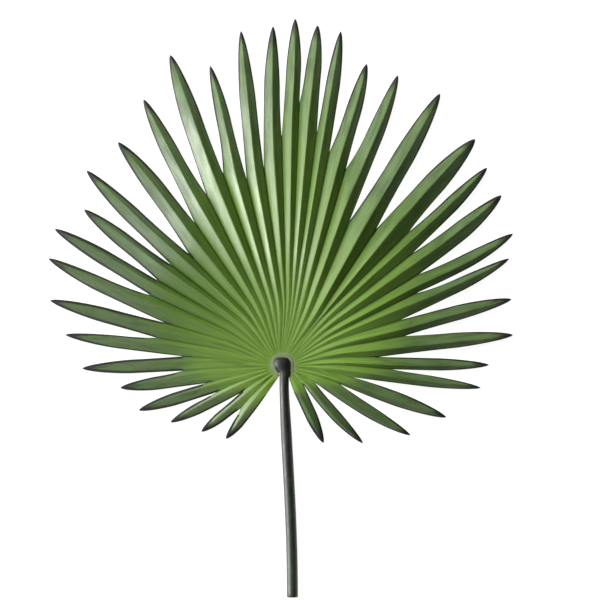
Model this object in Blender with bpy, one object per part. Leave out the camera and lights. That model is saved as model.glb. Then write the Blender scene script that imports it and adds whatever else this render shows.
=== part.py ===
"""Fan palm leaf, cut and laid face up on a surface: its pleated blade, the collar at its hub and its stalk.
The blade is one sheet, folded like a fan. Each segment is a low roof: a raised rib between two lower sides,
which are joined to the next segments as far out as the slits between them and free from there to the tip.
Lengths at the top are in millimetres, measured from the hub, where the stalk's head sits. +Y runs from the
stalk towards the middle segments and +Z is the blade's upper face."""

import math

import bmesh
import bpy

MM = 0.001

# The segments counter-clockwise from the right of the stalk. Each row is the direction of the tip in degrees,
# its reach, the direction and depth of the slit after the segment, the half width in the middle of the
# free part, how far the segment stands to the left of the straight line from hub to tip there, how far to
# the left of the hub the line of the fold behind the slit passes, and how far the rib stands to the left of
# the segment's middle, in half widths.
SEGMENTS = (
    (297.8, 88, 317.5, 29, 6.0, 2.0, 0, -0.2),
    (315.9, 112, 332.0, 37, 5.5, 1.0, 0, -0.3),
    (331.3, 146, 342.0, 61, 6.2, 1.2, 2, -0.3),
    (342.4, 172, 350.6, 72, 7.2, 2.5, 5.5, -0.35),
    (353.5, 200, 358.0, 110, 5.8, 0.8, 4.75, -0.05),
    (360.1, 207, 365.1, 97, 6.2, 0.8, 7, -0.25),
    (367.5, 233, 373.6, 126, 7.6, 2.4, 6.5, -0.2),
    (376.1, 239, 381.1, 127, 7.6, 2.1, 8, -0.15),
    (385.2, 251, 388.4, 152, 6.6, -2.5, 5.25, 0.15),
    (389.7, 266, 393.8, 165, 7.3, -0.5, 7, -0.2),
    (397.8, 278, 400.8, 173, 9.4, -2.9, 5.75, 0.1),
    (404.0, 285, 406.6, 185, 7.8, -1.6, 5.5, 0.15),
    (409.6, 298, 415.5, 166, 11.5, 2.5, -4, 0.05),
    (419.9, 315, 425.1, 160, 10.6, -0.4, -6, -0.15),
    (428.3, 313, 432.1, 207, 8.3, -0.9, -4.75, -0.15),
    (434.4, 314, 437.6, 219, 8.0, 0.0, -4, -0.15),
    (440.1, 340, 441.6, 236, 7.2, -1.4, -3.5, 0.1),
    (444.1, 343, 446.3, 264, 8.0, -0.5, -6, -0.05),
    (447.9, 348, 450.2, 229, 7.5, -0.2, -5.5, -0.15),
    (451.6, 340, 455.4, 199, 8.0, 3.0, -9, -0.1),
    (457.1, 338, 460.9, 190, 8.2, 1.8, -7.5, -0.05),
    (463.6, 309, 467.2, 201, 7.2, -0.4, -8, -0.1),
    (469.9, 331, 474.0, 188, 10.2, 1.7, -8, -0.2),
    (477.6, 301, 481.6, 168, 8.7, 0.8, -9, -0.1),
    (486.4, 278, 490.0, 146, 9.4, -2.8, -11, -0.15),
    (495.2, 277, 497.9, 151, 8.6, -0.6, -11.5, -0.3),
    (501.9, 253, 505.7, 151, 8.0, -0.2, -10.5, -0.4),
    (509.1, 266, 512.0, 150, 7.8, -0.8, -8.5, -0.4),
    (515.5, 258, 520.0, 126, 7.5, 2.0, -7.5, -0.4),
    (524.4, 242, 527.6, 129, 7.6, -0.6, -5, -0.4),
    (532.0, 220, 534.7, 100, 6.3, -0.2, -3, -0.35),
    (540.9, 201, 543.0, 100, 6.9, -1.4, -2, -0.4),
    (547.9, 164, 552.9, 79, 6.6, 0.4, -2, -0.45),
    (557.4, 151, 562.0, 71, 6.4, -0.2, -3, -0.45),
    (567.0, 126, 573.0, 51, 5.8, 0.1, -4, -0.45),
    (579.3, 105, 585.8, 60, 5.4, 0.5, -5, -0.35),
    (592.4, 93, 599.9, 40, 6.0, 0.5, 0, -0.3),
)
# The open notch below the hub, where the stalk leaves. Each edge is straight from its corner beside the stalk
# (direction, distance) to the point that stands in for a slit; the last segment's is in its row.
NOTCH_RIGHT = (293.2, 29)
NOTCH_RIGHT_CORNER = (295.8, 16.4)
NOTCH_LEFT_CORNER = (609.4, 12.8)

BLADE_THICKNESS = 1.0
HUB_Z = 10.5  # upper face of the blade beside the stalk's head
CROWN = 4.0  # how far the blade arches up between the hub and the tips
TIP_LIFT = 2.5  # the most that a tip is raised off the surface
TIP_HALF_WIDTH = 0.5
FOLD_SLOPE = 0.75  # rise of a segment's side over its half width
HUB_FOLD_SLOPE = 0.04
LAST_FOLD_SLOPE = 0.4  # the last segments, to the left of the stalk, are folded less
LAST_STEEP = 27  # the segment after which the folds grow flatter
LAST_EASE = 4.0
FOLD_START = 0.08  # of the way to the slits: up to here the blade is flat, and beyond FULL_FOLD fully folded
FULL_FOLD = 0.63
FLAT_RIM = 12.0  # the folds rise beyond this, so that the collar lies on a level rim
FOLD_BEND = 60.0  # inside this a fold bends over to its corner at the hub
HUB_STEP_POWER = 1.3
TIP_TAPER = 0.6  # below 1 a segment keeps its width towards the tip
HUB_RADIUS = 9.6  # inner edge of the blade around the stalk's head
HUB_RIGHT = 8.7  # the same edge where it runs straight down beside the stalk
LEVEL_RIM = 30.0  # the blade stays near level this far out, under the collar
FUSED_STEPS = 9
FREE_STATIONS = (0.0, 0.12, 0.3, 0.5, 0.66, 0.8, 0.91, 0.97, 1.0)

STALK_END_Y = -232.0
STALK_NECK_Y = -20.0
STALK_NECK_X = 1.7
STALK_BOW = 8.2  # sideways shift of the cut end from the neck
STALK_END_RADIUS = 5.6
STALK_NECK_RADIUS = 4.8
STALK_STEPS = 14
HEAD_Z = 10.5  # height of the stalk's axis in the hub
# The stalk's head from the neck to its rounded top: y, x and radius.
HEAD = (
    (-16.0, 1.6, 4.7),
    (-12.4, 1.9, 5.1),
    (-9.0, 1.5, 6.1),
    (-6.0, 0.7, 7.1),
    (-3.0, 0.1, 7.9),
    (0.0, -0.3, 8.4),
    (3.0, -0.35, 8.3),
    (5.4, -0.3, 7.2),
    (7.2, -0.2, 5.6),
    (8.3, -0.1, 3.2),
)

COLLAR_RADIUS = 1.2
COLLAR_END_RADIUS = 0.8
COLLAR_ARC_RADIUS = 10.4
COLLAR_GAP = 0.3
RIM_RIB_RISE = 0.6  # the most that a rib stands up under the collar
# The collar's two legs beside the stalk, from its arc down: x and y of their lower ends.
COLLAR_RIGHT_END = (10.2, -13.0)
COLLAR_LEFT_END = (-5.4, -12.0)
COLLAR_ARC_END = 190.0  # degrees round from the right leg
COLLAR_ARC_STEPS = 18
COLLAR_LEG_STEPS = 4


def remove_all():
    for thing in list(bpy.data.objects):
        bpy.data.objects.remove(thing, do_unlink=True)


def material(name, colour, roughness):
    made = bpy.data.materials.new(name)
    made.use_nodes = True
    shader = made.node_tree.nodes["Principled BSDF"]
    shader.inputs["Base Color"].default_value = (*colour, 1.0)
    shader.inputs["Roughness"].default_value = roughness
    shader.inputs["Metallic"].default_value = 0.0
    return made


def on_ray(distance, degrees, side=0.0):
    """The point this far out in a direction, and this far to the left of it."""
    a = math.radians(degrees)
    return (
        distance * math.cos(a) - side * math.sin(a),
        distance * math.sin(a) + side * math.cos(a),
    )


def smooth(u):
    u = min(max(u, 0.0), 1.0)
    return u * u * (3.0 - 2.0 * u)


def inner_radius(degrees):
    """The blade's inner edge: a circle around the stalk's head, straight where it runs down on the right."""
    x, y = on_ray(1.0, degrees)
    return max(HUB_RADIUS, HUB_RIGHT / x) if x > 0 > y else HUB_RADIUS


def sheet_height(distance, reach):
    """Height of the sheet's lower folds this far from the hub, under a tip at this reach."""
    fraction = max(distance - HUB_RADIUS, 0.0) / (reach - HUB_RADIUS)
    fall = (HUB_Z - BLADE_THICKNESS) * (1.0 - fraction**2)
    arch = CROWN * math.sin(math.pi * fraction**0.8) ** 2 * smooth((distance - HUB_RADIUS) / LEVEL_RIM)
    return BLADE_THICKNESS + fall + arch


class Segment:
    """One segment's edges and rib, in coordinates along and across the line from the hub to its tip."""

    def __init__(self, index):
        self.direction, self.reach, left_direction, left_depth, self.half, self.bow = SEGMENTS[index][:6]
        self.rib_aside = SEGMENTS[index][7]
        right_direction, right_depth = SEGMENTS[index - 1][2:4] if index else NOTCH_RIGHT
        # A slit as (its point along the line, its offset to the left).
        self.slits = []
        for direction, depth in ((right_direction, right_depth), (left_direction, left_depth)):
            turn = math.radians(direction - self.direction)
            self.slits.append((depth * math.cos(turn), depth * math.sin(turn)))
        self.depth = (right_depth + left_depth) / 2
        right, left = (
            self.depth * math.sin(math.radians(d - self.direction)) for d in (right_direction, left_direction)
        )
        self.slit_bow = (left + right) / 2
        self.slit_half = (left - right) / 2
        self.lift = TIP_LIFT * max(0.0, math.sin(2.4 * index))
        self.slope = FOLD_SLOPE + (LAST_FOLD_SLOPE - FOLD_SLOPE) * smooth((index - LAST_STEEP) / LAST_EASE)

    def middle_offset(self, along):
        s = (along - self.depth) / (self.reach - self.depth)
        return self.slit_bow * (1 - s) * (1 - 2 * s) + self.bow * 4 * s * (1 - s)

    def half_width(self, along):
        s = (along - self.depth) / (self.reach - self.depth)
        if s < 0.5:
            return self.slit_half + (self.half - self.slit_half) * (1 - (1 - 2 * s) ** 2)
        taper = max(0.0, 1.0 - (2 * s - 1) ** 1.5)
        return max(self.half * taper**TIP_TAPER, TIP_HALF_WIDTH)

    def base_height(self, along):
        return sheet_height(along, self.reach) + self.lift * smooth(along / self.reach / 0.4 - 1.5)

    def rib_point(self, right, left):
        """The rib's point between a point of each edge: up by the fold's slope times half the width."""
        x, y, z = ((a + b) / 2 for a, b in zip(right, left))
        half_x, half_y = (left[0] - right[0]) / 2, (left[1] - right[1]) / 2
        out_x, out_y = on_ray(1.0, self.direction)
        width = abs(out_x * half_y - out_y * half_x)
        distance = math.hypot(x, y)
        folded = smooth((distance / self.depth - FOLD_START) / (FULL_FOLD - FOLD_START))
        folded *= smooth(distance / FLAT_RIM - 1.0)
        slope = HUB_FOLD_SLOPE + (self.slope - HUB_FOLD_SLOPE) * folded
        aside = self.rib_aside * folded
        return x + half_x * aside, y + half_y * aside, z + slope * width

    def edge_point(self, side, t, slit_height):
        """A point of a free edge: side is -1 for the right one, and t runs from the slit to the tip."""
        start, offset = self.slits[side > 0]
        along = start + (self.reach - start) * t
        blend = (1 - t) ** 2 if t > 0 else 1.0
        outline = self.middle_offset(along) + side * self.half_width(along)
        outline_start = self.middle_offset(start) + side * self.half_width(start)
        x, y = on_ray(along, self.direction, outline + (offset - outline_start) * blend**2)
        return x, y, self.base_height(along) + (slit_height - self.base_height(start)) * blend


def fold_line(corner, slit, aim, reach):
    """The points of one lower fold, from its corner on the blade's inner edge to its slit."""
    start_x, start_y = on_ray(corner[1], corner[0])
    end_x, end_y = on_ray(slit[1], slit[0])
    run_x, run_y = end_x - start_x, end_y - start_y
    length = math.hypot(run_x, run_y)
    line = []
    for step in range(FUSED_STEPS + 1):
        t = (step / FUSED_STEPS) ** HUB_STEP_POWER
        x, y = start_x + run_x * t, start_y + run_y * t
        aside = aim * (1 - t) * smooth((math.hypot(x, y) - HUB_RADIUS) / FOLD_BEND) / length
        x, y = x - run_y * aside, y + run_x * aside
        line.append((x, y, sheet_height(math.hypot(x, y), reach)))
    return line


def blade_mesh():
    mesh = bmesh.new()

    def corners_at(points):
        return [mesh.verts.new([c * MM for c in point]) for point in points]

    segments = [Segment(i) for i in range(len(SEGMENTS))]
    lines = [fold_line(NOTCH_RIGHT_CORNER, NOTCH_RIGHT, 0.0, segments[0].reach)]
    for segment, after, row in zip(segments, segments[1:], SEGMENTS):
        direction, depth, aim = row[2], row[3], row[6]
        corner = (direction, inner_radius(direction))
        lines.append(fold_line(corner, (direction, depth), aim, (segment.reach + after.reach) / 2))
    lines.append(fold_line(NOTCH_LEFT_CORNER, SEGMENTS[-1][2:4], 0.0, segments[-1].reach))
    folds = [corners_at(line) for line in lines]
    for i, segment in enumerate(segments):
        paths, edges = [], []
        for side, number in ((-1, i), (1, i + 1)):
            slit_height = lines[number][-1][2]
            free = [segment.edge_point(side, t, slit_height) for t in FREE_STATIONS[1:]]
            paths.append(lines[number] + free)
            edges.append(folds[number] + corners_at(free))
        right, left = edges
        rib = corners_at(segment.rib_point(*pair) for pair in zip(*paths))
        for step in range(len(rib) - 1):
            mesh.faces.new((right[step], right[step + 1], rib[step + 1], rib[step]))
            mesh.faces.new((rib[step], rib[step + 1], left[step + 1], left[step]))
    bmesh.ops.triangulate(mesh, faces=mesh.faces[:])
    lower = bmesh.ops.extrude_face_region(mesh, geom=mesh.faces[:])["geom"]
    lowered = [v for v in lower if isinstance(v, bmesh.types.BMVert)]
    bmesh.ops.translate(mesh, verts=lowered, vec=(0, 0, -BLADE_THICKNESS * MM))
    bmesh.ops.recalc_face_normals(mesh, faces=mesh.faces[:])
    made = bpy.data.meshes.new("leaf_blade")
    mesh.to_mesh(made)
    mesh.free()
    return made


def tube(name, points, finish, collection, parent):
    """A round bar through points of (x, y, z, radius) in millimetres, closed at both ends."""
    curve = bpy.data.curves.new(name, "CURVE")
    curve.dimensions = "3D"
    curve.twist_mode = "Z_UP"
    curve.bevel_depth = MM
    curve.bevel_resolution = 4
    curve.use_fill_caps = True
    spline = curve.splines.new("POLY")
    spline.points.add(len(points) - 1)
    for point, (x, y, z, radius) in zip(spline.points, points):
        point.co = (x * MM, y * MM, z * MM, 1.0)
        point.radius = radius
    spline.use_smooth = True
    made = bpy.data.objects.new(name, curve)
    made.data.materials.append(finish)
    collection.objects.link(made)
    made.parent = parent
    return made


def stalk_points():
    """The stalk from its cut end, which lies on the surface, up to its rounded head in the hub."""
    points = []
    for step in range(STALK_STEPS + 1):
        u = 1 - step / STALK_STEPS
        y = STALK_NECK_Y + (STALK_END_Y - STALK_NECK_Y) * u
        x = STALK_NECK_X + STALK_BOW * math.sin(math.pi / 2 * u) ** 1.3
        radius = STALK_NECK_RADIUS + (STALK_END_RADIUS - STALK_NECK_RADIUS) * smooth(u * 4)
        points.append((x, y, radius))
    points += [(x, y, radius) for y, x, radius in HEAD]
    rise = HEAD_Z - STALK_END_RADIUS
    whole = []
    for x, y, radius in points:
        climb = min((y - STALK_END_Y) / -STALK_END_Y, 1.0)
        whole.append((x, y, STALK_END_RADIUS + rise * climb, radius))
    return whole


def collar_points():
    """The collar: an arc over the stalk's head with a leg down each side of it, lying on the blade."""
    z = HUB_Z + RIM_RIB_RISE + COLLAR_GAP + COLLAR_RADIUS
    path = []
    for step in range(COLLAR_LEG_STEPS):
        u = step / COLLAR_LEG_STEPS
        path.append((COLLAR_RIGHT_END[0], COLLAR_RIGHT_END[1] * (1 - u)))
    for step in range(COLLAR_ARC_STEPS + 1):
        path.append(on_ray(COLLAR_ARC_RADIUS, COLLAR_ARC_END * step / COLLAR_ARC_STEPS))
    last = path[-1]
    for step in range(1, COLLAR_LEG_STEPS + 1):
        u = step / COLLAR_LEG_STEPS
        path.append([a + (b - a) * u for a, b in zip(last, COLLAR_LEFT_END)])
    points = []
    for i, (x, y) in enumerate(path):
        ends = min(i, len(path) - 1 - i) / COLLAR_LEG_STEPS
        radius = COLLAR_END_RADIUS + (COLLAR_RADIUS - COLLAR_END_RADIUS) * min(ends, 1.0)
        points.append((x, y, z, radius))
    return points


def build():
    remove_all()
    collection = bpy.data.collections.new("fan_palm_leaf")
    bpy.context.scene.collection.children.link(collection)
    root = bpy.data.objects.new("leaf_frame", None)
    collection.objects.link(root)

    green = material("leaf_green", (0.13, 0.27, 0.07), 0.38)
    blade = bpy.data.objects.new("leaf_blade", blade_mesh())
    blade.data.materials.append(green)
    collection.objects.link(blade)
    blade.parent = root

    dark = material("stalk_dark_green", (0.045, 0.055, 0.04), 0.32)
    tube("leaf_stalk", stalk_points(), dark, collection, root)

    pale = material("collar_pale_green", (0.30, 0.36, 0.20), 0.5)
    tube("hastula", collar_points(), pale, collection, root)

    # The frame's origin is under the middle of the whole leaf, on the surface it lies on.
    bpy.context.view_layer.update()
    graph = bpy.context.evaluated_depsgraph_get()
    points = []
    for thing in collection.objects:
        if thing.type != "EMPTY":
            shape = thing.evaluated_get(graph)
            points += [tuple(vertex.co) for vertex in shape.to_mesh().vertices]
            shape.to_mesh_clear()
    low = [min(p[i] for p in points) for i in range(3)]
    high = [max(p[i] for p in points) for i in range(3)]
    root.location = (-(low[0] + high[0]) / 2, -(low[1] + high[1]) / 2, -low[2])
    bpy.context.view_layer.update()


build()
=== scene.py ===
"""A cut fan palm leaf lying face up on a pale surface, seen from straight above."""

import bpy
import numpy as np
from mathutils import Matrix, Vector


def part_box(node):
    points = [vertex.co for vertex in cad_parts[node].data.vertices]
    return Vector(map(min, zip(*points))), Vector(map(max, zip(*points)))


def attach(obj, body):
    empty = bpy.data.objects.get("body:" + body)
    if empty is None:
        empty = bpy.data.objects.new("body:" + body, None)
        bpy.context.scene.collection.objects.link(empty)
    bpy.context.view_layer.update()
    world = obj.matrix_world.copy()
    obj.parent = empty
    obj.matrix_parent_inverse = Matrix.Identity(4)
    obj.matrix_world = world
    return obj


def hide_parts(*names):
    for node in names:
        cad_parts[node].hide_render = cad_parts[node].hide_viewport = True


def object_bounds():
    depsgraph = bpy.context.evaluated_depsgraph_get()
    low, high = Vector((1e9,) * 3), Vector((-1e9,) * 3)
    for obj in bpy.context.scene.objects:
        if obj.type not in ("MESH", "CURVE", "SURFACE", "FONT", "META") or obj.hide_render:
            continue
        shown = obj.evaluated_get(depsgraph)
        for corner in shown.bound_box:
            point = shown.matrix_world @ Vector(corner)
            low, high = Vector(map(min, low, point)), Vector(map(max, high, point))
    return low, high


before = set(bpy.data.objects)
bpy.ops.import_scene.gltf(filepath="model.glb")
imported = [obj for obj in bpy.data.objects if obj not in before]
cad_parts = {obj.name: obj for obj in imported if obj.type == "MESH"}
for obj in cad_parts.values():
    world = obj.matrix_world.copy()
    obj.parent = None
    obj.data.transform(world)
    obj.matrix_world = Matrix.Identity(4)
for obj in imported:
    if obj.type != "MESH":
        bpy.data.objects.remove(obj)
cad_low, cad_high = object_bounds()

# ---------------------------------------------------------------------------------------------------------
# Leaf blade: one living sheet of waxy leaf under half a millimetre thick, folded like a fan. From the hub
# out to the slits its segments are grown together, and beyond them each runs free to a point. Every segment
# is a low roof, with its rib along the ridge and its two edges turned down a little.
# ---------------------------------------------------------------------------------------------------------

# Segments counter-clockwise from the right of the stalk, in degrees and mm from the hub: direction and
# reach of the tip, direction and depth of the slit after it, half width half way along the free part, how
# far the segment stands there to the left of the straight line to the tip, how far to the left of the hub
# the line of the fold behind the slit passes, and how far the rib stands to the left, in half widths.
SEGMENTS = np.array(
    [
        (297.8, 88, 317.5, 29, 6.0, 2.0, 0, -0.2),
        (315.9, 112, 332.0, 37, 5.5, 1.0, 0, -0.3),
        (331.3, 146, 342.0, 61, 6.2, 1.2, 2, -0.3),
        (342.4, 172, 350.6, 72, 7.2, 2.5, 5.5, -0.35),
        (353.5, 200, 358.0, 110, 5.8, 0.8, 4.75, -0.05),
        (360.1, 207, 365.1, 97, 6.2, 0.8, 7, -0.25),
        (367.5, 233, 373.6, 126, 7.6, 2.4, 6.5, -0.2),
        (376.1, 239, 381.1, 127, 7.6, 2.1, 8, -0.15),
        (385.2, 251, 388.4, 152, 6.6, -2.5, 5.25, 0.15),
        (389.7, 266, 393.8, 165, 7.3, -0.5, 7, -0.2),
        (397.8, 278, 400.8, 173, 9.4, -2.9, 5.75, 0.1),
        (404.0, 285, 406.6, 185, 7.8, -1.6, 5.5, 0.15),
        (409.6, 298, 415.5, 166, 11.5, 2.5, -4, 0.05),
        (419.9, 315, 425.1, 160, 10.6, -0.4, -6, -0.15),
        (428.3, 313, 432.1, 207, 8.3, -0.9, -4.75, -0.15),
        (434.4, 314, 437.6, 219, 8.0, 0.0, -4, -0.15),
        (440.1, 340, 441.6, 236, 7.2, -1.4, -3.5, 0.1),
        (444.1, 343, 446.3, 264, 8.0, -0.5, -6, -0.05),
        (447.9, 348, 450.2, 229, 7.5, -0.2, -5.5, -0.15),
        (451.6, 340, 455.4, 199, 8.0, 3.0, -9, -0.1),
        (457.1, 338, 460.9, 190, 8.2, 1.8, -7.5, -0.05),
        (463.6, 309, 467.2, 201, 7.2, -0.4, -8, -0.1),
        (469.9, 331, 474.0, 188, 10.2, 1.7, -8, -0.2),
        (477.6, 301, 481.6, 168, 8.7, 0.8, -9, -0.1),
        (486.4, 278, 490.0, 146, 9.4, -2.8, -11, -0.15),
        (495.2, 277, 497.9, 151, 8.6, -0.6, -11.5, -0.3),
        (501.9, 253, 505.7, 151, 8.0, -0.2, -10.5, -0.4),
        (509.1, 266, 512.0, 150, 7.8, -0.8, -8.5, -0.4),
        (515.5, 258, 520.0, 126, 7.5, 2.0, -7.5, -0.4),
        (524.4, 242, 527.6, 129, 7.6, -0.6, -5, -0.4),
        (532.0, 220, 534.7, 100, 6.3, -0.2, -3, -0.35),
        (540.9, 201, 543.0, 100, 6.9, -1.4, -2, -0.4),
        (547.9, 164, 552.9, 79, 6.6, 0.4, -2, -0.45),
        (557.4, 151, 562.0, 71, 6.4, -0.2, -3, -0.45),
        (567.0, 126, 573.0, 51, 5.8, 0.1, -4, -0.45),
        (579.3, 105, 585.8, 60, 5.4, 0.5, -5, -0.35),
        (592.4, 93, 599.9, 40, 5.2, 0.5, 0, -0.3),
    ]
)
# The two edges beside the stalk start at these corners: direction and distance from the hub.
NOTCH_RIGHT = (293.2, 29.0)  # the first segment's edge, in place of a slit
NOTCH_RIGHT_CORNER = (295.8, 16.4)
NOTCH_LEFT_CORNER = (612.7, 11.1)
HUB_RADIUS = 9.6
INNER_EDGE = 5.5  # the blade runs in under the collar and grows into the stalk's head
LEAF_THICKNESS = 0.45
HUB_Z = 10.4
CROWN = 4.0
LEVEL_RIM = 30.0  # over this distance from the hub the arch starts gently
TIP_LIFT = 2.5  # some segments stand up to this much higher in their outer part
LIFT_START = 0.6
LIFT_TURNS = 2.4
TIP_HALF_WIDTH = 0.3
# How steep the two sides of a segment are: least at the hub, and less on the segments left of the stalk,
# from LAST_STEEP on, than on the others, but steeper again on the three nearest the stalk.
FOLD_SLOPE = 0.75
HUB_FOLD_SLOPE = 0.04
LAST_FOLD_SLOPE = 0.12
LAST_STEEP = 27
LAST_EASE = 4.0
END_FOLD_SLOPE = 0.42
END_STEEP = 31
END_EASE = 3.0
FLAT_RIM = 12.0
FOLD_START = 0.08  # of the way to the slits: inside it the blade is flat, beyond FULL_FOLD fully folded
FULL_FOLD = 0.63
FOLD_BEND = 60.0
HUB_STEP_POWER = 1.3  # the mesh's stations stand closer together towards the hub
RIB_ROUNDING = 0.3
RIB_EASING = 16.0
EASING_PLACES = 13
WEATHERED_FROM = 462.0  # degrees: from here round to the left the leaf has aged more
WEATHERED_OVER = 40.0
PAINTED_SHEEN_FROM = 555.0  # degrees: from here on the segments carry a painted pale sheen, most on their right sides, which face the light
PAINTED_SHEEN_OVER = 25.0
NOTCH_DARKNESS = 3.0  # the dark margin fades this much faster inwards of a slit
PATTERN_STEP = 40.0  # mm between the patterns of neighbouring segments, so that none repeats
FUSED_STEPS = 26
FREE_STEPS = 40
ACROSS = np.array([0, 0.05, 0.14, 0.3, 0.5, 0.7, 0.85, 0.94, 1.0])  # the mesh's lines from rib to edge
MM = 0.001


def smooth(u):
    """Rises from 0 to 1 as u goes from 0 to 1, level at both ends: 3u^2 - 2u^3."""
    u = np.clip(u, 0.0, 1.0)
    return u * u * (3.0 - 2.0 * u)


def on_ray(distance, degrees, side=0.0):
    """Points this far out from the hub in a direction and this far to its left, as x and y."""
    a = np.radians(degrees)
    x = distance * np.cos(a) - side * np.sin(a)
    y = distance * np.sin(a) + side * np.cos(a)
    return np.stack([x, y], -1)


def sheet_height(distance, reach):
    """Height of the lower folds: it falls as the square of the way out, with a low arch about half way."""
    fraction = np.maximum(distance - HUB_RADIUS, 0.0) / (reach - HUB_RADIUS)
    fall = (HUB_Z - LEAF_THICKNESS) * (1.0 - fraction**2)
    arch = CROWN * np.sin(np.pi * np.clip(fraction, 0, 1) ** 0.8) ** 2
    return LEAF_THICKNESS + fall + arch * smooth((distance - HUB_RADIUS) / LEVEL_RIM)


def fold_path(corner, slit, aim):
    """Points of every fold from its corner at the hub to its slit, as x and y.

    A fold is the straight line from the corner to the slit, moved to the left by aim times what is left of
    the way, so that it runs as if it came past the hub; near the hub the move fades out."""
    t = np.linspace(0.0, 1.0, FUSED_STEPS + 1)[None, :] ** HUB_STEP_POWER
    chord = slit - corner
    normal = np.stack([-chord[:, 1], chord[:, 0]], -1) / np.hypot(*chord.T)[:, None]
    xy = corner[:, None] + chord[:, None] * t[..., None]
    bend = smooth((np.hypot(xy[..., 0], xy[..., 1]) - HUB_RADIUS) / FOLD_BEND)
    return xy + normal[:, None] * (aim[:, None] * (1 - t) * bend)[..., None]


def eased(along, values):
    """Each row of values averaged over RIB_EASING mm either way along it, and over less near its ends."""
    window = np.minimum(RIB_EASING, np.minimum(along - along[:, :1], along[:, -1:] - along))
    places = along[..., None] + window[..., None] * np.linspace(-1.0, 1.0, EASING_PLACES)
    return np.array([np.interp(at, row, line).mean(-1) for at, row, line in zip(places, along, values)])


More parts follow.
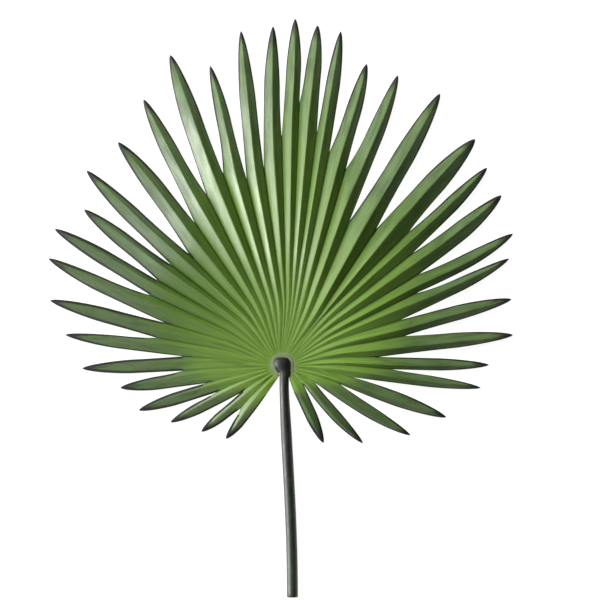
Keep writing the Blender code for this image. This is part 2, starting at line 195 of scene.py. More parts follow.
def leaf_surface():
    """Every segment's points, on a grid of segment, station from hub to tip and place from edge to edge.

    A station joins a point on the right edge, one on the rib and one on the left edge. Where segments are
    grown together the edges are the shared folds. Beyond the slits, at the part s of the free length, the
    middle line stands off the straight line to the tip by 4 s (1 - s) times the bow, and the slits' own
    offset fades out as (1 - s)(1 - 2s). The half width grows to its widest half way as 1 - (1 - 2s)^2, and
    with u = 2s - 1 it narrows to the tip as (1 - u^1.5)^0.6. The rib stands above the middle of the two
    edges by the slope times the half width."""
    columns = (column[:, None] for column in SEGMENTS.T)
    direction, reach, left_direction, left_depth, half, bow, aim, rib_aside = columns
    right_direction = np.vstack([[[NOTCH_RIGHT[0]]], left_direction[:-1]])
    right_depth = np.vstack([[[NOTCH_RIGHT[1]]], left_depth[:-1]])
    depth = (right_depth + left_depth) / 2
    left = depth * np.sin(np.radians(left_direction - direction))
    right = depth * np.sin(np.radians(right_direction - direction))
    slit_bow, slit_half = (left + right) / 2, (left - right) / 2
    number = np.arange(len(SEGMENTS))[:, None]
    lift = TIP_LIFT * np.maximum(0.0, np.sin(LIFT_TURNS * number))

    def middle_offset(along):
        s = (along - depth) / (reach - depth)
        return slit_bow * (1 - s) * (1 - 2 * s) + bow * 4 * s * (1 - s)

    def half_width(along):
        s = (along - depth) / (reach - depth)
        widen = slit_half + (half - slit_half) * (1 - (1 - 2 * s) ** 2)
        taper = half * np.maximum(0.0, 1.0 - np.maximum(2 * s - 1, 0.0) ** 1.5) ** 0.6
        return np.where(s < 0.5, widen, np.maximum(taper, TIP_HALF_WIDTH))

    def base_height(along):
        return sheet_height(along, reach) + lift * smooth((along / reach - LIFT_START) / (1 - LIFT_START))

    # The stations of the free part stand closer together at the slit and at the tip.
    steps = np.linspace(0.0, 1.0, FREE_STEPS + 1)[1:]
    out = (0.5 * steps + 0.25 * (1 - np.cos(np.pi * steps)))[None, :]

    # The folds that neighbours share, then the free edges beyond them.
    fold_direction = np.append(NOTCH_RIGHT[0], SEGMENTS[:, 2])
    fold_depth = np.append(NOTCH_RIGHT[1], SEGMENTS[:, 3])
    fold_reach = np.append(SEGMENTS[:, 1], SEGMENTS[-1, 1])
    fold_reach[1:-1] = (SEGMENTS[:-1, 1] + SEGMENTS[1:, 1]) / 2
    turn = np.radians(fold_direction)
    beside_stalk = (np.cos(turn) > 0) & (np.sin(turn) < 0)
    inner = np.where(beside_stalk, INNER_EDGE / np.cos(turn), INNER_EDGE)
    corner = on_ray(inner, fold_direction)
    corner[0] = on_ray(NOTCH_RIGHT_CORNER[1], NOTCH_RIGHT_CORNER[0])
    corner[-1] = on_ray(NOTCH_LEFT_CORNER[1], NOTCH_LEFT_CORNER[0])
    slit = on_ray(fold_depth, fold_direction)
    fold_xy = fold_path(corner, slit, np.append(0.0, SEGMENTS[:, 6]))
    fold_z = sheet_height(np.hypot(fold_xy[..., 0], fold_xy[..., 1]), fold_reach[:, None])

    edges = []
    edge_along = []
    for side, slit_direction, slit_depth, folds in (
        (-1, right_direction, right_depth, slice(0, -1)),
        (1, left_direction, left_depth, slice(1, None)),
    ):
        start = slit_depth * np.cos(np.radians(slit_direction - direction))
        offset = slit_depth * np.sin(np.radians(slit_direction - direction))
        along = start + (reach - start) * out
        outline = middle_offset(along) + side * half_width(along)
        outline_start = middle_offset(start) + side * half_width(start)
        blend = (1 - out) ** 2
        xy = on_ray(along, direction, outline + (offset - outline_start) * blend**2)
        z = base_height(along) + (fold_z[folds][:, -1:] - base_height(start)) * blend
        edge_xy = np.concatenate([fold_xy[folds], xy], 1)
        edge_z = np.concatenate([fold_z[folds], z], 1)
        edges.append(np.concatenate([edge_xy, edge_z[..., None]], -1))
        edge_along.append(start)

    middle = (edges[0] + edges[1]) / 2
    half_chord = (edges[1] - edges[0])[..., :2] / 2
    outward = on_ray(1.0, direction)
    width = np.abs(outward[..., 0] * half_chord[..., 1] - outward[..., 1] * half_chord[..., 0])
    rib_along = np.hypot(middle[..., 0], middle[..., 1])
    ease = smooth((rib_along / depth - FOLD_START) / (FULL_FOLD - FOLD_START))
    ease = ease * smooth(rib_along / FLAT_RIM - 1.0)
    steep = FOLD_SLOPE + (LAST_FOLD_SLOPE - FOLD_SLOPE) * smooth((number - LAST_STEEP) / LAST_EASE)
    steep = steep + (END_FOLD_SLOPE - LAST_FOLD_SLOPE) * smooth((number - END_STEEP) / END_EASE)
    slope = HUB_FOLD_SLOPE + (steep - HUB_FOLD_SLOPE) * ease
    rib = middle.copy()
    rib[..., :2] += half_chord * (rib_aside * ease)[..., None]
    rib[..., 2] += slope * width
    rib = np.stack([eased(rib_along, rib[..., axis]) for axis in range(3)], -1)

    place = np.concatenate([-ACROSS[:0:-1], ACROSS])
    away = np.abs(place)[None, None, :]
    edge = np.where((place < 0)[None, None, :, None], edges[0][:, :, None], edges[1][:, :, None])
    # The ridge is rounded: how far down the roof a place is, from 0 on the rib to 1 at the edge.
    round_off = RIB_ROUNDING / np.maximum(width, 1.0)[..., None]
    down = (np.sqrt(away**2 + round_off**2) - round_off) / (np.sqrt(1 + round_off**2) - round_off)
    points = np.empty(edge.shape)
    points[..., :2] = rib[:, :, None, :2] + (edge[..., :2] - rib[:, :, None, :2]) * away[..., None]
    points[..., 2] = rib[:, :, None, 2] + (edge[..., 2] - rib[:, :, None, 2]) * down

    # For the colours: where each point is on its segment, and how far it is from whatever changes its
    # colour, in mm; then how much of the way to the slits it is, and its share of painted sheen and of
    # ageing.
    slit_along = np.where(place > 0, edge_along[1][:, :, None], edge_along[0][:, :, None])
    along = np.broadcast_to(rib_along[..., None], down.shape)
    side_width = np.hypot(*np.moveaxis(edge[..., :2] - rib[:, :, None, :2], -1, 0))
    from_fold = (1 - away) * side_width
    from_slit = np.maximum(0.0, slit_along - along) * NOTCH_DARKNESS
    pattern = np.broadcast_to(number[..., None] * PATTERN_STEP, down.shape)
    bloom_here = smooth((direction - PAINTED_SHEEN_FROM) / PAINTED_SHEEN_OVER)[..., None] * smooth(0.6 - place * 1.2)
    weathered_here = smooth((direction - WEATHERED_FROM) / WEATHERED_OVER)[..., None]
    layers = {
        "grain": np.stack([along, place * side_width, pattern], -1),
        "from_hub": np.hypot(points[..., 0], points[..., 1]),
        "from_fold": from_fold,
        "from_margin": np.hypot(from_fold, from_slit),
        "from_tip": reach[:, :, None] - along,
        "slit_ratio": along / depth[:, :, None],
        "bloom": np.broadcast_to(bloom_here, down.shape),
        "weathered": np.broadcast_to(weathered_here, down.shape),
    }
    return points, layers


def sheet_mesh(name, points, layers):
    """One mesh from the grid, in which neighbouring segments share the points of their common fold.

    Each layer becomes an attribute of the mesh's points."""
    segments, stations, places = points.shape[:3]
    index = np.arange(segments * stations * places).reshape(segments, stations, places)
    index[1:, : FUSED_STEPS + 1, 0] = index[:-1, : FUSED_STEPS + 1, -1]
    used, index = np.unique(index, return_inverse=True)
    index = index.reshape(segments, stations, places)
    corners = (index[:, :-1, :-1], index[:, 1:, :-1], index[:, 1:, 1:], index[:, :-1, 1:])
    quads = np.stack(corners, -1).reshape(-1, 4)
    mesh = bpy.data.meshes.new(name)
    mesh.from_pydata((points.reshape(-1, 3)[used] * MM).tolist(), [], quads.tolist())
    for layer, values in layers.items():
        flat = values.reshape(points.size // 3, -1)[used].astype(np.float32)
        kind, field = ("FLOAT_VECTOR", "vector") if flat.shape[1] == 3 else ("FLOAT", "value")
        mesh.attributes.new(layer, kind, "POINT").data.foreach_set(field, flat.ravel())
    mesh.update()
    mesh.shade_smooth()
    return mesh


def linear(hex_colour):
    """An sRGB hex colour as linear RGBA: each channel over 255, to the power its transfer curve gives."""
    channels = [int(hex_colour[i : i + 2], 16) / 255 for i in (0, 2, 4)]
    return tuple(c / 12.92 if c <= 0.04045 else ((c + 0.055) / 1.055) ** 2.4 for c in channels) + (1.0,)


def feed(tree, made, inputs):
    """Sets a node's inputs: a number or a colour goes on the socket, another node's output is linked."""
    for key, value in inputs.items():
        if isinstance(value, bpy.types.NodeSocket):
            tree.links.new(value, made.inputs[key])
        else:
            made.inputs[key].default_value = value


def node(tree, kind, inputs, output=0, **settings):
    """Adds a shader node with its settings and links, and gives back one of its outputs."""
    made = tree.nodes.new(kind)
    for key, value in settings.items():
        setattr(made, key, value)
    feed(tree, made, inputs)
    return made.outputs[output]


def new_material(name):
    """A new material, its node tree and its surface shader."""
    material = bpy.data.materials.new(name)
    material.use_nodes = True
    return material, material.node_tree, material.node_tree.nodes["Principled BSDF"]


def piece(name, mesh, material, slot, *replaced):
    """Puts a mesh in the scene as a piece of the leaf, in place of these solids."""
    made = bpy.data.objects.new(name, mesh)
    mesh.materials.append(material)
    bpy.context.scene.collection.objects.link(made)
    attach(made, "root")
    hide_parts(*replaced)
    return made


points, layers = leaf_surface()
blade_low, blade_high = (np.array(corner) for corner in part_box("leaf_blade"))
outline = points.reshape(-1, 3) * MM
hub = (blade_low + blade_high - outline.min(0) - outline.max(0)) / 2
hub[2] = cad_low[2]
blade_mesh = sheet_mesh("blade_sheet", points + hub / MM, layers)

# Living leaf with a waxy cuticle. Where the segments are grown together the tissue is young yellow-green;
# beyond the slits it is older, bluer and duller, with dry near-black tips and thin dark margins that are
# part dry tissue and part painted shade. Fine parallel veins run along each segment, cloudy darker patches
# and brown specks come with age, and the wax gives a whitish sheen on the sides that face the light.
leaf_green, tree, shader = new_material("waxy_palm_leaf")
grain = node(tree, "ShaderNodeAttribute", {}, "Vector", attribute_name="grain")
from_hub = node(tree, "ShaderNodeAttribute", {}, "Fac", attribute_name="from_hub")
from_fold = node(tree, "ShaderNodeAttribute", {}, "Fac", attribute_name="from_fold")
from_margin = node(tree, "ShaderNodeAttribute", {}, "Fac", attribute_name="from_margin")
from_tip = node(tree, "ShaderNodeAttribute", {}, "Fac", attribute_name="from_tip")
slit_ratio = node(tree, "ShaderNodeAttribute", {}, "Fac", attribute_name="slit_ratio")
weathered = node(tree, "ShaderNodeAttribute", {}, "Fac", attribute_name="weathered")
bloom = node(tree, "ShaderNodeAttribute", {}, "Fac", attribute_name="bloom")

# Veins 0.9 mm apart, which is coarser than a palm's, so that they show. The other patterns are drawn out
# along the segments too.
vein_place = node(tree, "ShaderNodeVectorMath", {0: grain, 1: (1 / 70, 1 / 0.9, 1)}, operation="MULTIPLY")
veins = node(tree, "ShaderNodeTexNoise", {"Vector": vein_place, "Scale": 1.0, "Detail": 2.0})
cloud_place = node(tree, "ShaderNodeVectorMath", {0: grain, 1: (1 / 24, 1 / 5, 1)}, operation="MULTIPLY")
clouds = node(tree, "ShaderNodeTexNoise", {"Vector": cloud_place, "Scale": 1.0, "Detail": 4.0})
speck_place = node(tree, "ShaderNodeVectorMath", {0: grain, 1: (1 / 4, 1 / 1.4, 1)}, operation="MULTIPLY")
specks = node(tree, "ShaderNodeTexNoise", {"Vector": speck_place, "Scale": 1.0, "Detail": 1.0})
band_place = node(
    tree, "ShaderNodeVectorMath", {0: grain, 1: (1 / 45, 1 / 2.2, 0.37)}, operation="MULTIPLY"
)
bands = node(tree, "ShaderNodeTexNoise", {"Vector": band_place, "Scale": 1.0, "Detail": 3.0})
rim_place = node(tree, "ShaderNodeVectorMath", {0: grain, 1: (1 / 50, 1 / 50, 1)}, operation="MULTIPLY")
rims = node(tree, "ShaderNodeTexNoise", {"Vector": rim_place, "Scale": 1.0, "Detail": 3.0})

# Young green near the hub, in bands of two greens, then older and duller outwards and to the left. Over it
# lie darker clouds and veins, brown specks and a painted pale sheen.
inner = node(tree, "ShaderNodeMapRange", {0: from_hub, 1: 150.0, 2: 20.0}, interpolation_type="SMOOTHSTEP")
greens = {0: inner, 6: linear("7A9D44"), 7: linear("8FB84C")}
green = node(tree, "ShaderNodeMix", greens, 2, data_type="RGBA")
band = node(tree, "ShaderNodeMapRange", {0: bands, 1: 0.48, 2: 0.7, 4: 0.8})
banded = node(tree, "ShaderNodeMath", {0: inner, 1: 0.6, 2: 0.4}, operation="MULTIPLY_ADD")
band = node(tree, "ShaderNodeMath", {0: band, 1: banded}, operation="MULTIPLY")
green = node(tree, "ShaderNodeMix", {0: band, 6: green, 7: linear("557F22")}, 2, data_type="RGBA")
ageing = node(tree, "ShaderNodeMath", {0: clouds, 1: 0.5, 2: slit_ratio}, operation="MULTIPLY_ADD")
aged = node(tree, "ShaderNodeMapRange", {0: ageing, 1: 1.0, 2: 1.6}, interpolation_type="SMOOTHSTEP")
old_greens = {0: weathered, 6: linear("6F8E55"), 7: linear("6F8B58")}
old = node(tree, "ShaderNodeMix", old_greens, 2, data_type="RGBA")
green = node(tree, "ShaderNodeMix", {0: aged, 6: green, 7: old}, 2, data_type="RGBA")
outside = node(
    tree, "ShaderNodeMath", {0: inner, 1: -0.45, 2: 0.4}, operation="MULTIPLY_ADD", use_clamp=True
)
duller = node(tree, "ShaderNodeMath", {0: weathered, 1: outside}, operation="MULTIPLY")
green = node(tree, "ShaderNodeMix", {0: duller, 6: green, 7: linear("3E6424")}, 2, data_type="RGBA")
cloudy = node(tree, "ShaderNodeMapRange", {0: clouds, 1: 0.42, 2: 0.68, 4: 0.55})
cloudy = node(tree, "ShaderNodeMath", {0: cloudy, 1: aged}, operation="MULTIPLY")
green = node(tree, "ShaderNodeMix", {0: cloudy, 6: green, 7: linear("3C5628")}, 2, data_type="RGBA")
vein = node(tree, "ShaderNodeMapRange", {0: veins, 1: 0.5, 2: 0.75, 4: 0.4})
green = node(tree, "ShaderNodeMix", {0: vein, 6: green, 7: linear("2C421F")}, 2, data_type="RGBA")
speck = node(tree, "ShaderNodeMapRange", {0: specks, 1: 0.6, 2: 0.68, 4: 0.55})
speck = node(tree, "ShaderNodeMath", {0: speck, 1: aged}, operation="MULTIPLY")
green = node(tree, "ShaderNodeMix", {0: speck, 6: green, 7: linear("82735A")}, 2, data_type="RGBA")
# Painted sheen: the last segments left of the stalk are tinted a whitish pale green, most on their right
# sides, which face the light.
bloom_start = node(tree, "ShaderNodeMapRange", {0: from_hub, 1: 22.0, 2: 55.0, 4: 0.75})
bloom = node(tree, "ShaderNodeMath", {0: bloom, 1: bloom_start}, operation="MULTIPLY")
green = node(tree, "ShaderNodeMix", {0: bloom, 6: green, 7: linear("C4DAA6")}, 2, data_type="RGBA")

# Painted shade darkens the valleys of the folds between grown-together segments; the free margins darken
# with painted shade and dry tissue, and the tips are dry.
# Painted shade in the fold valleys, fading out towards the hub.
painted_fold_shade = node(
    tree, "ShaderNodeMapRange", {0: from_fold, 1: 2.2, 2: 0.0, 4: 0.85}, interpolation_type="SMOOTHSTEP"
)
fold_shade_fade = node(tree, "ShaderNodeMath", {0: inner, 1: -0.8, 2: 1.0}, operation="MULTIPLY_ADD")
painted_fold_shade = node(tree, "ShaderNodeMath", {0: painted_fold_shade, 1: fold_shade_fade}, operation="MULTIPLY")
green = node(tree, "ShaderNodeMix", {0: painted_fold_shade, 6: green, 7: linear("22380F")}, 2, data_type="RGBA")
# Painted shade: on the aged side each free segment darkens over its last 4 mm towards the margins, as if
# its edges curved down.
painted_edge_shade = node(
    tree, "ShaderNodeMapRange", {0: from_margin, 1: 4.0, 2: 0.5, 4: 0.45}, interpolation_type="SMOOTHSTEP"
)
painted_edge_shade = node(tree, "ShaderNodeMath", {0: painted_edge_shade, 1: weathered}, operation="MULTIPLY")
green = node(tree, "ShaderNodeMix", {0: painted_edge_shade, 6: green, 7: linear("37452A")}, 2, data_type="RGBA")
# A thin dark rim along the free margins, part dry tissue and part painted shade in place of a downward curl
# of the edges; it widens towards the tips and with age.
dark_rim_width = node(tree, "ShaderNodeMapRange", {0: rims, 1: 0.35, 2: 0.6, 3: 0.3, 4: 1.3})
near_tip = node(tree, "ShaderNodeMapRange", {0: from_tip, 1: 90.0, 2: 15.0, 3: 0.0, 4: 0.7})
dark_rim_width = node(tree, "ShaderNodeMath", {0: dark_rim_width, 1: near_tip}, operation="ADD")
dark_rim_width = node(tree, "ShaderNodeMath", {0: weathered, 1: 0.9, 2: dark_rim_width}, operation="MULTIPLY_ADD")
dry_and_shaded_rim = node(tree, "ShaderNodeMath", {0: from_margin, 1: dark_rim_width}, operation="SUBTRACT")
dry_and_shaded_rim = node(
    tree, "ShaderNodeMapRange", {0: dry_and_shaded_rim, 1: 0.5, 2: -0.3, 4: 0.95}, interpolation_type="SMOOTHSTEP"
)
green = node(tree, "ShaderNodeMix", {0: dry_and_shaded_rim, 6: green, 7: linear("22281D")}, 2, data_type="RGBA")
tip_reach = node(tree, "ShaderNodeMath", {0: clouds, 1: 40.0, 2: 2.0}, operation="MULTIPLY_ADD")
withered = node(
    tree, "ShaderNodeMapRange", {0: from_tip, 1: tip_reach, 2: 3.0}, interpolation_type="SMOOTHSTEP"
)
green = node(tree, "ShaderNodeMix", {0: withered, 6: green, 7: linear("20211D")}, 2, data_type="RGBA")

# Round the hub the blade pales to the grey-green of its collar.
pale_reach = node(tree, "ShaderNodeMath", {0: bands, 1: 9.0, 2: 11.0}, operation="MULTIPLY_ADD")
pale_range = {0: from_hub, 1: pale_reach, 2: 11.0, 4: 0.8}
pale = node(tree, "ShaderNodeMapRange", pale_range, interpolation_type="SMOOTHSTEP")
green = node(tree, "ShaderNodeMix", {0: pale, 6: green, 7: linear("9DB07E")}, 2, data_type="RGBA")

# The wax shines most half way out: it is thin round the hub, and worn towards the tips and with age.
wax = node(tree, "ShaderNodeMapRange", {0: clouds, 1: 0.3, 2: 0.7, 3: 0.3, 4: 0.42})
thin_wax = node(tree, "ShaderNodeMapRange", {0: from_hub, 1: 115.0, 2: 25.0, 3: 0.0, 4: 0.4})
wax = node(tree, "ShaderNodeMath", {0: wax, 1: thin_wax}, operation="ADD")
worn_wax = node(tree, "ShaderNodeMapRange", {0: from_tip, 1: 90.0, 2: 20.0, 3: 0.0, 4: 0.3})
wax = node(tree, "ShaderNodeMath", {0: wax, 1: worn_wax}, operation="ADD")
wax = node(tree, "ShaderNodeMath", {0: weathered, 1: 0.15, 2: wax}, operation="MULTIPLY_ADD")
relief = node(tree, "ShaderNodeBump", {"Height": veins, "Strength": 0.35, "Distance": 0.0003})
feed(tree, shader, {"Base Color": green, "Roughness": wax, "Specular IOR Level": 0.6, "Normal": relief})

blade = piece("pleated_blade", blade_mesh, leaf_green, "leaf_green", "leaf_blade")
wall = blade.modifiers.new("leaf_thickness", "SOLIDIFY")
wall.thickness = LEAF_THICKNESS * MM
wall.offset = -1.0

# ---------------------------------------------------------------------------------------------------------
# Leaf stalk: a smooth round petiole of hard fibre, a little thicker towards its cut end, with a swollen
# head that has grown into the hub. It lies on the surface at its cut end and rises to the hub.
# ---------------------------------------------------------------------------------------------------------

STALK_END_Y = -232.0
STALK_CHAMFER = 0.3
CUT_RINGS = np.array([0.3, 0.6, 0.85, 1.0])  # the mesh's rings on the cut face, in parts of its radius
SHAFT_END_Y = -16.0
NECK_Y = -20.0
NECK_X = 1.7
STALK_BOW = 8.2
STALK_BOW_POWER = 1.3
END_RADIUS = 5.55
NECK_RADIUS = 4.75
THICKENING = 0.25  # of the way from the neck to the cut end
HEAD_LEFT = -8.8
HEAD_LEFT_START = -8.5
HEAD_LEFT_RISE = 9.5
HEAD_RIGHT = 7.4
HEAD_RIGHT_START = -13.0
HEAD_RIGHT_RISE = 5.5
HEAD_Z = 10.5
HEAD_SHOULDER_Y = 0.0  # from here up the head closes
HEAD_TOP_Y = 8.1
HEAD_LAST_RING = 0.9995  # of the way from the shoulder to the top
HEAD_SQUARENESS = 3.4
HEAD_FLATTENING = 0.35
SHAFT_RINGS = 60
SWELLING_RINGS = 22
CLOSING_RINGS = 24
CLOSING_POWER = 0.8
STALK_SIDES = 64


def carried_rings(centre, rightward, half_width, half_height, sides):
    """An ellipse carried along a path: centre + rightward times a cos + up times b sin."""
    angle = np.linspace(0.0, 2 * np.pi, sides, endpoint=False)
    side = rightward[:, None] * (half_width[:, None] * np.cos(angle))[..., None]
    up = np.array([0.0, 0.0, 1.0]) * (half_height[:, None] * np.sin(angle))[..., None]
    return centre[:, None] + side + up


def stalk_surface():
    """The stalk's rings, from its cut end to the top of its head.

    Down from the neck the axis moves to the right as a power of a quarter sine. The left and the right
    outline swell from the neck into the head with smooth steps, and t of the way from the shoulder to the
    top the half width is (1 - t^p)^(1/p) of what it would be, which is squarer than a circle's end."""
    shaft = np.linspace(STALK_END_Y + STALK_CHAMFER, SHAFT_END_Y, SHAFT_RINGS)[:-1]
    swelling = np.linspace(SHAFT_END_Y, HEAD_SHOULDER_Y, SWELLING_RINGS)[:-1]
    closing = np.sin(np.linspace(0.0, np.pi / 2, CLOSING_RINGS)) ** CLOSING_POWER
    top = HEAD_SHOULDER_Y + (HEAD_TOP_Y - HEAD_SHOULDER_Y) * np.minimum(closing, HEAD_LAST_RING)
    y = np.concatenate([np.full(len(CUT_RINGS), STALK_END_Y), shaft, swelling, top])
    u = np.clip((NECK_Y - y) / (NECK_Y - STALK_END_Y), 0.0, 1.0)
    axis = NECK_X + STALK_BOW * np.sin(np.pi / 2 * u) ** STALK_BOW_POWER
    radius = NECK_RADIUS + (END_RADIUS - NECK_RADIUS) * smooth(u / THICKENING)
    left_swelling = smooth((y - HEAD_LEFT_START) / HEAD_LEFT_RISE)
    right_swelling = smooth((y - HEAD_RIGHT_START) / HEAD_RIGHT_RISE)
    left = axis - radius + (HEAD_LEFT - NECK_X + NECK_RADIUS) * left_swelling
    right = axis + radius + (HEAD_RIGHT - NECK_X - NECK_RADIUS) * right_swelling
    t = np.clip((y - HEAD_SHOULDER_Y) / (HEAD_TOP_Y - HEAD_SHOULDER_Y), 0.0, 1.0)
    half = (right - left) / 2 * (1.0 - t**HEAD_SQUARENESS) ** (1 / HEAD_SQUARENESS)
    half[: len(CUT_RINGS)] = END_RADIUS * CUT_RINGS - STALK_CHAMFER
    z = END_RADIUS + (HEAD_Z - END_RADIUS) * np.minimum((y - STALK_END_Y) / -STALK_END_Y, 1.0)
    centre = np.stack([(left + right) / 2, y, z], -1)
    rightward = np.tile([1.0, 0.0, 0.0], (len(y), 1))
    half_height = half * (1.0 - HEAD_FLATTENING * smooth((y - NECK_Y) / -NECK_Y))
    return carried_rings(centre, rightward, half, half_height, STALK_SIDES)


def tube_mesh(name, rings, layers):
    """Rings of points joined into a skin, with a fan of triangles to the middle at each end.

    Each layer becomes an attribute of the mesh's points."""
    count, sides = rings.shape[:2]
    index = np.arange(count * sides).reshape(count, sides)
    turned = np.roll(index, -1, 1)
    quads = np.stack([index[:-1], index[1:], turned[1:], turned[:-1]], -1).reshape(-1, 4)
    start, end = np.full(sides, count * sides), np.full(sides, count * sides + 1)
    start_fan = np.stack([index[0], turned[0], start], -1)
    end_fan = np.stack([turned[-1], index[-1], end], -1)
    points = np.concatenate([rings.reshape(-1, 3), rings[[0, -1]].mean(1)])
    mesh = bpy.data.meshes.new(name)
    mesh.from_pydata((points * MM).tolist(), [], quads.tolist() + start_fan.tolist() + end_fan.tolist())
    for layer, values in layers.items():
        flat = np.concatenate([values.ravel(), values[[0, -1]].mean(1)]).astype(np.float32)
        mesh.attributes.new(layer, "FLOAT", "POINT").data.foreach_set("value", flat)
    mesh.update()
    mesh.shade_smooth()
    return mesh


stalk_rings = stalk_surface()
cut_face = np.zeros(stalk_rings.shape[:2])
cut_face[: len(CUT_RINGS)] = 1.0
stalk_layers = {"on_cut": cut_face, "from_end": stalk_rings[..., 1] - STALK_END_Y}
stalk_mesh = tube_mesh("stalk_skin", stalk_rings + hub / MM, stalk_layers)

# Hard petiole skin, dark olive to near-black, smooth and a little waxy, so it takes a long soft highlight.
# Fine fibres run along it, pale scurf lies on it in patches and dulls its head, and it is greener towards
# the cut end. The cut face is dry tan pith with dark fibre ends.
stalk_skin, tree, shader = new_material("dark_petiole_skin")
place = node(tree, "ShaderNodeTexCoord", {}, "Object")
fibre_place = node(tree, "ShaderNodeVectorMath", {0: place, 1: (1100, 25, 1100)}, operation="MULTIPLY")
fibres = node(tree, "ShaderNodeTexNoise", {"Vector": fibre_place, "Scale": 1.0, "Detail": 2.0})
patches = node(tree, "ShaderNodeTexNoise", {"Vector": place, "Scale": 90.0, "Detail": 3.0})
from_end = node(tree, "ShaderNodeAttribute", {}, "Fac", attribute_name="from_end")
on_cut = node(tree, "ShaderNodeAttribute", {}, "Fac", attribute_name="on_cut")
greener = node(tree, "ShaderNodeMapRange", {0: from_end, 1: 190.0, 2: 0.0}, interpolation_type="SMOOTHSTEP")
skin_colours = {0: greener, 6: linear("262A23"), 7: linear("37452F")}
skin = node(tree, "ShaderNodeMix", skin_colours, 2, data_type="RGBA")
fibre = node(tree, "ShaderNodeMapRange", {0: fibres, 1: 0.4, 2: 0.7, 4: 0.5})
skin = node(tree, "ShaderNodeMix", {0: fibre, 6: skin, 7: linear("1E211A")}, 2, data_type="RGBA")
scurf = node(tree, "ShaderNodeMapRange", {0: patches, 1: 0.5, 2: 0.75, 4: 0.3})
skin = node(tree, "ShaderNodeMix", {0: scurf, 6: skin, 7: linear("5A6254")}, 2, data_type="RGBA")
pith_place = node(tree, "ShaderNodeVectorMath", {0: place, 1: (1400, 100, 1400)}, operation="MULTIPLY")
pith = node(tree, "ShaderNodeTexVoronoi", {"Vector": pith_place, "Scale": 1.0})
pith = node(tree, "ShaderNodeMapRange", {0: pith, 1: 0.15, 2: 0.35})
pith = node(tree, "ShaderNodeMix", {0: pith, 6: linear("4A3E2A"), 7: linear("A3936A")}, 2, data_type="RGBA")
skin = node(tree, "ShaderNodeMix", {0: on_cut, 6: skin, 7: pith}, 2, data_type="RGBA")
gloss = node(tree, "ShaderNodeMapRange", {0: patches, 1: 0.3, 2: 0.7, 3: 0.48, 4: 0.6})
dull_head = node(tree, "ShaderNodeMapRange", {0: from_end, 1: 212.0, 2: 226.0, 3: 0.0, 4: 0.08})
gloss = node(tree, "ShaderNodeMath", {0: gloss, 1: dull_head}, operation="ADD")
relief = node(tree, "ShaderNodeBump", {"Height": fibres, "Strength": 0.2, "Distance": 0.0002})
feed(tree, shader, {"Base Color": skin, "Roughness": gloss, "Specular IOR Level": 1.0, "Normal": relief})
piece("petiole", stalk_mesh, stalk_skin, "stalk_dark", "leaf_stalk")

# ---------------------------------------------------------------------------------------------------------
# Hastula: the pale collar round the stalk's head, a thin lip of soft tissue that has grown from the blade
# and lies flat on it. It is open below, where the stalk leaves, and it has begun to dry.
# ---------------------------------------------------------------------------------------------------------

COLLAR_REACH = 9.6
COLLAR_SQUARENESS = 3.0
COLLAR_ARC_END = 184.0
COLLAR_RIGHT_END_Y = -13.0
COLLAR_LEFT_END = (-3.9, -10.2)
COLLAR_Z = 10.5
COLLAR_CLIMB = 2.6  # it rises this much near its left end
CLIMB_START = 0.72  # this and the next are parts of its length
CLIMB_LENGTH = 0.2
COLLAR_HALF_WIDTH = 1.9
COLLAR_HALF_HEIGHT = 0.45
COLLAR_END_SHARE = 0.35  # both ends narrow towards this share of its width and height
COLLAR_LEG_STEPS = 12
COLLAR_ARC_POINTS = 60
COLLAR_SIDES = 20


def collar_surface():
    """A flat ellipse carried up beside the stalk, over its head and down the other side.

    Over the head its path is |x|^p + |y|^p = r^p, a circle drawn out towards a square's corners. Its width
    and height go with a power of the sine of the part of the way, so that it is thinner at both ends."""
    up = np.linspace(COLLAR_RIGHT_END_Y, 0.0, COLLAR_LEG_STEPS + 1)[:-1]
    turn = np.radians(np.linspace(0.0, COLLAR_ARC_END, COLLAR_ARC_POINTS))
    beyond = np.abs(np.cos(turn)) ** COLLAR_SQUARENESS + np.abs(np.sin(turn)) ** COLLAR_SQUARENESS
    over = on_ray(COLLAR_REACH * beyond ** (-1 / COLLAR_SQUARENESS), np.degrees(turn))
    part = np.linspace(0.0, 1.0, COLLAR_LEG_STEPS + 1)[1:, None]
    down = over[-1] + (np.array(COLLAR_LEFT_END) - over[-1]) * part
    path = np.concatenate([np.stack([np.full(COLLAR_LEG_STEPS, COLLAR_REACH), up], -1), over, down])
    onward = np.gradient(path, axis=0)
    onward /= np.hypot(*onward.T)[:, None]
    rightward = np.stack([onward[:, 1], -onward[:, 0], np.zeros(len(path))], -1)
    full = np.sin(np.pi * np.linspace(0.02, 0.98, len(path))) ** 0.4
    share = COLLAR_END_SHARE + (1 - COLLAR_END_SHARE) * full
    climb = COLLAR_CLIMB * smooth((np.linspace(0.0, 1.0, len(path)) - CLIMB_START) / CLIMB_LENGTH)
    centre = np.column_stack([path, COLLAR_Z + climb])
    half_width, half_height = COLLAR_HALF_WIDTH * share, COLLAR_HALF_HEIGHT * share
    return carried_rings(centre, rightward, half_width, half_height, COLLAR_SIDES)


collar_rings = collar_surface()
section_angle = np.linspace(0.0, 2 * np.pi, COLLAR_SIDES, endpoint=False)
collar_layers = {"outward": np.broadcast_to(np.cos(section_angle), collar_rings.shape[:2])}
collar_mesh = tube_mesh("collar_skin", collar_rings + hub / MM, collar_layers)

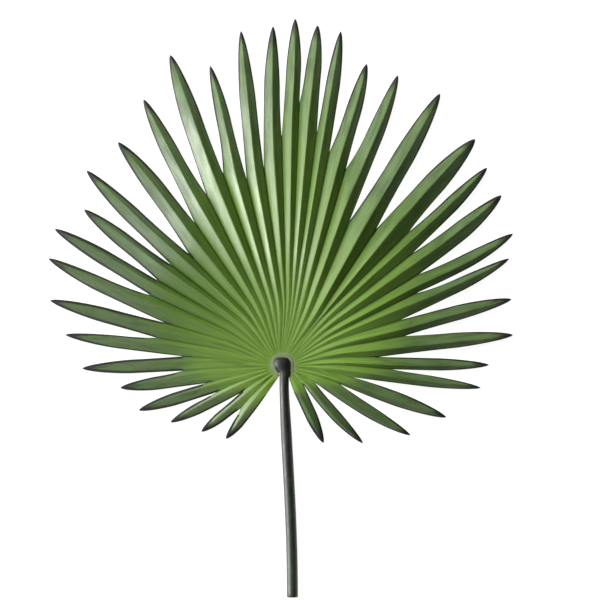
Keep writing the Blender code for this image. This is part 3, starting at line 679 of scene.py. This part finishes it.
# Pale soft tissue, greener next to the blade and greyer beside the stalk, with brownish patches where it
# dries. It is matt, so it keeps one even tone round the dark head.
collar_skin, tree, shader = new_material("pale_collar_tissue")
place = node(tree, "ShaderNodeTexCoord", {}, "Object")
outward = node(tree, "ShaderNodeAttribute", {}, "Fac", attribute_name="outward")
patches = node(tree, "ShaderNodeTexNoise", {"Vector": place, "Scale": 180.0, "Detail": 3.0})
blade_side = node(tree, "ShaderNodeMapRange", {0: outward, 1: -0.6, 2: 0.9})
tissue_colours = {0: blade_side, 6: linear("959E80"), 7: linear("93A66A")}
tissue = node(tree, "ShaderNodeMix", tissue_colours, 2, data_type="RGBA")
drying = node(tree, "ShaderNodeMapRange", {0: patches, 1: 0.5, 2: 0.8, 4: 0.4})
tissue = node(tree, "ShaderNodeMix", {0: drying, 6: tissue, 7: linear("7C7660")}, 2, data_type="RGBA")
feed(tree, shader, {"Base Color": tissue, "Roughness": 0.6, "Specular IOR Level": 0.3})
piece("collar", collar_mesh, collar_skin, "collar_pale", "hastula")

# ---------------------------------------------------------------------------------------------------------
# Stage: the leaf lies on a plain white card that glows a little, so that it stays near white. Soft lights
# stand on the left, out of the camera's sight, and a long lens looks straight down.
# ---------------------------------------------------------------------------------------------------------

CARD_GAP = 0.0002
FIELD = 0.6  # metres across the picture at the leaf
LENS = 135.0
SENSOR = 36.0
VIEW_MIDDLE = (0.0175, 0.0655, 0.01)  # from the hub, in metres

bpy.ops.mesh.primitive_plane_add(size=8.0, location=(0, 0, cad_low[2] - CARD_GAP))
surface = bpy.context.object
surface.name = "pale_surface"
board, tree, shader = new_material("white_card")
shader.inputs["Base Color"].default_value = (0.3, 0.3, 0.3, 1)
shader.inputs["Roughness"].default_value = 0.9
shader.inputs["Emission Color"].default_value = (1, 1, 1, 1)
# The card glows less towards the right, away from the lights: painted shade across the card.
place = node(tree, "ShaderNodeTexCoord", {}, "Object")
across_card = node(tree, "ShaderNodeSeparateXYZ", {0: place}, "X")
glow = node(tree, "ShaderNodeMapRange", {0: across_card, 1: 0.05, 2: 0.4, 3: 0.97, 4: 0.88})
feed(tree, shader, {"Emission Strength": glow})
surface.data.materials.append(board)


def softbox(name, azimuth, elevation, distance, width, height, power, diffuse=True, glossy=True):
    """An area light facing the frame's origin, which shades (diffuse) or shines (glossy) or does both."""
    light = bpy.data.lights.new(name, "AREA")
    light.shape = "RECTANGLE"
    light.size = width
    light.size_y = height
    light.energy = power
    made = bpy.data.objects.new(name, light)
    a, e = np.radians(azimuth), np.radians(elevation)
    away = np.array([np.cos(a) * np.cos(e), np.sin(a) * np.cos(e), np.sin(e)])
    made.location = away * distance
    made.rotation_euler = (np.pi / 2 - e, 0.0, a + np.pi / 2)
    made.visible_camera = False
    made.visible_diffuse = diffuse
    made.visible_glossy = glossy
    bpy.context.scene.collection.objects.link(made)


# The window shades the folds, the sheen panel only shines in the wax, and the fill panel does both weakly.
LIGHT_DISTANCE = 2.6
softbox("window", 148, 44, LIGHT_DISTANCE, width=0.8, height=0.8, power=59, glossy=False)
softbox("sheen_panel", 189, 19, LIGHT_DISTANCE, width=1.5, height=1.25, power=100, diffuse=False)
softbox("fill_panel", 150, 20, LIGHT_DISTANCE, width=1.6, height=1.1, power=18)

world = bpy.data.worlds.new("studio")
bpy.context.scene.world = world
world.use_nodes = True
world.node_tree.nodes["Background"].inputs["Color"].default_value = (1, 1, 1, 1)
world.node_tree.nodes["Background"].inputs["Strength"].default_value = 0.035

camera = bpy.data.cameras.new("camera")
camera.lens = LENS
camera.sensor_width = SENSOR
camera.clip_end = 50.0
viewpoint = bpy.data.objects.new("camera", camera)
viewpoint.location = hub + np.array(VIEW_MIDDLE) + (0.0, 0.0, FIELD * LENS / SENSOR)
bpy.context.scene.collection.objects.link(viewpoint)
bpy.context.scene.camera = viewpoint
bpy.context.scene.view_settings.view_transform = "Standard"
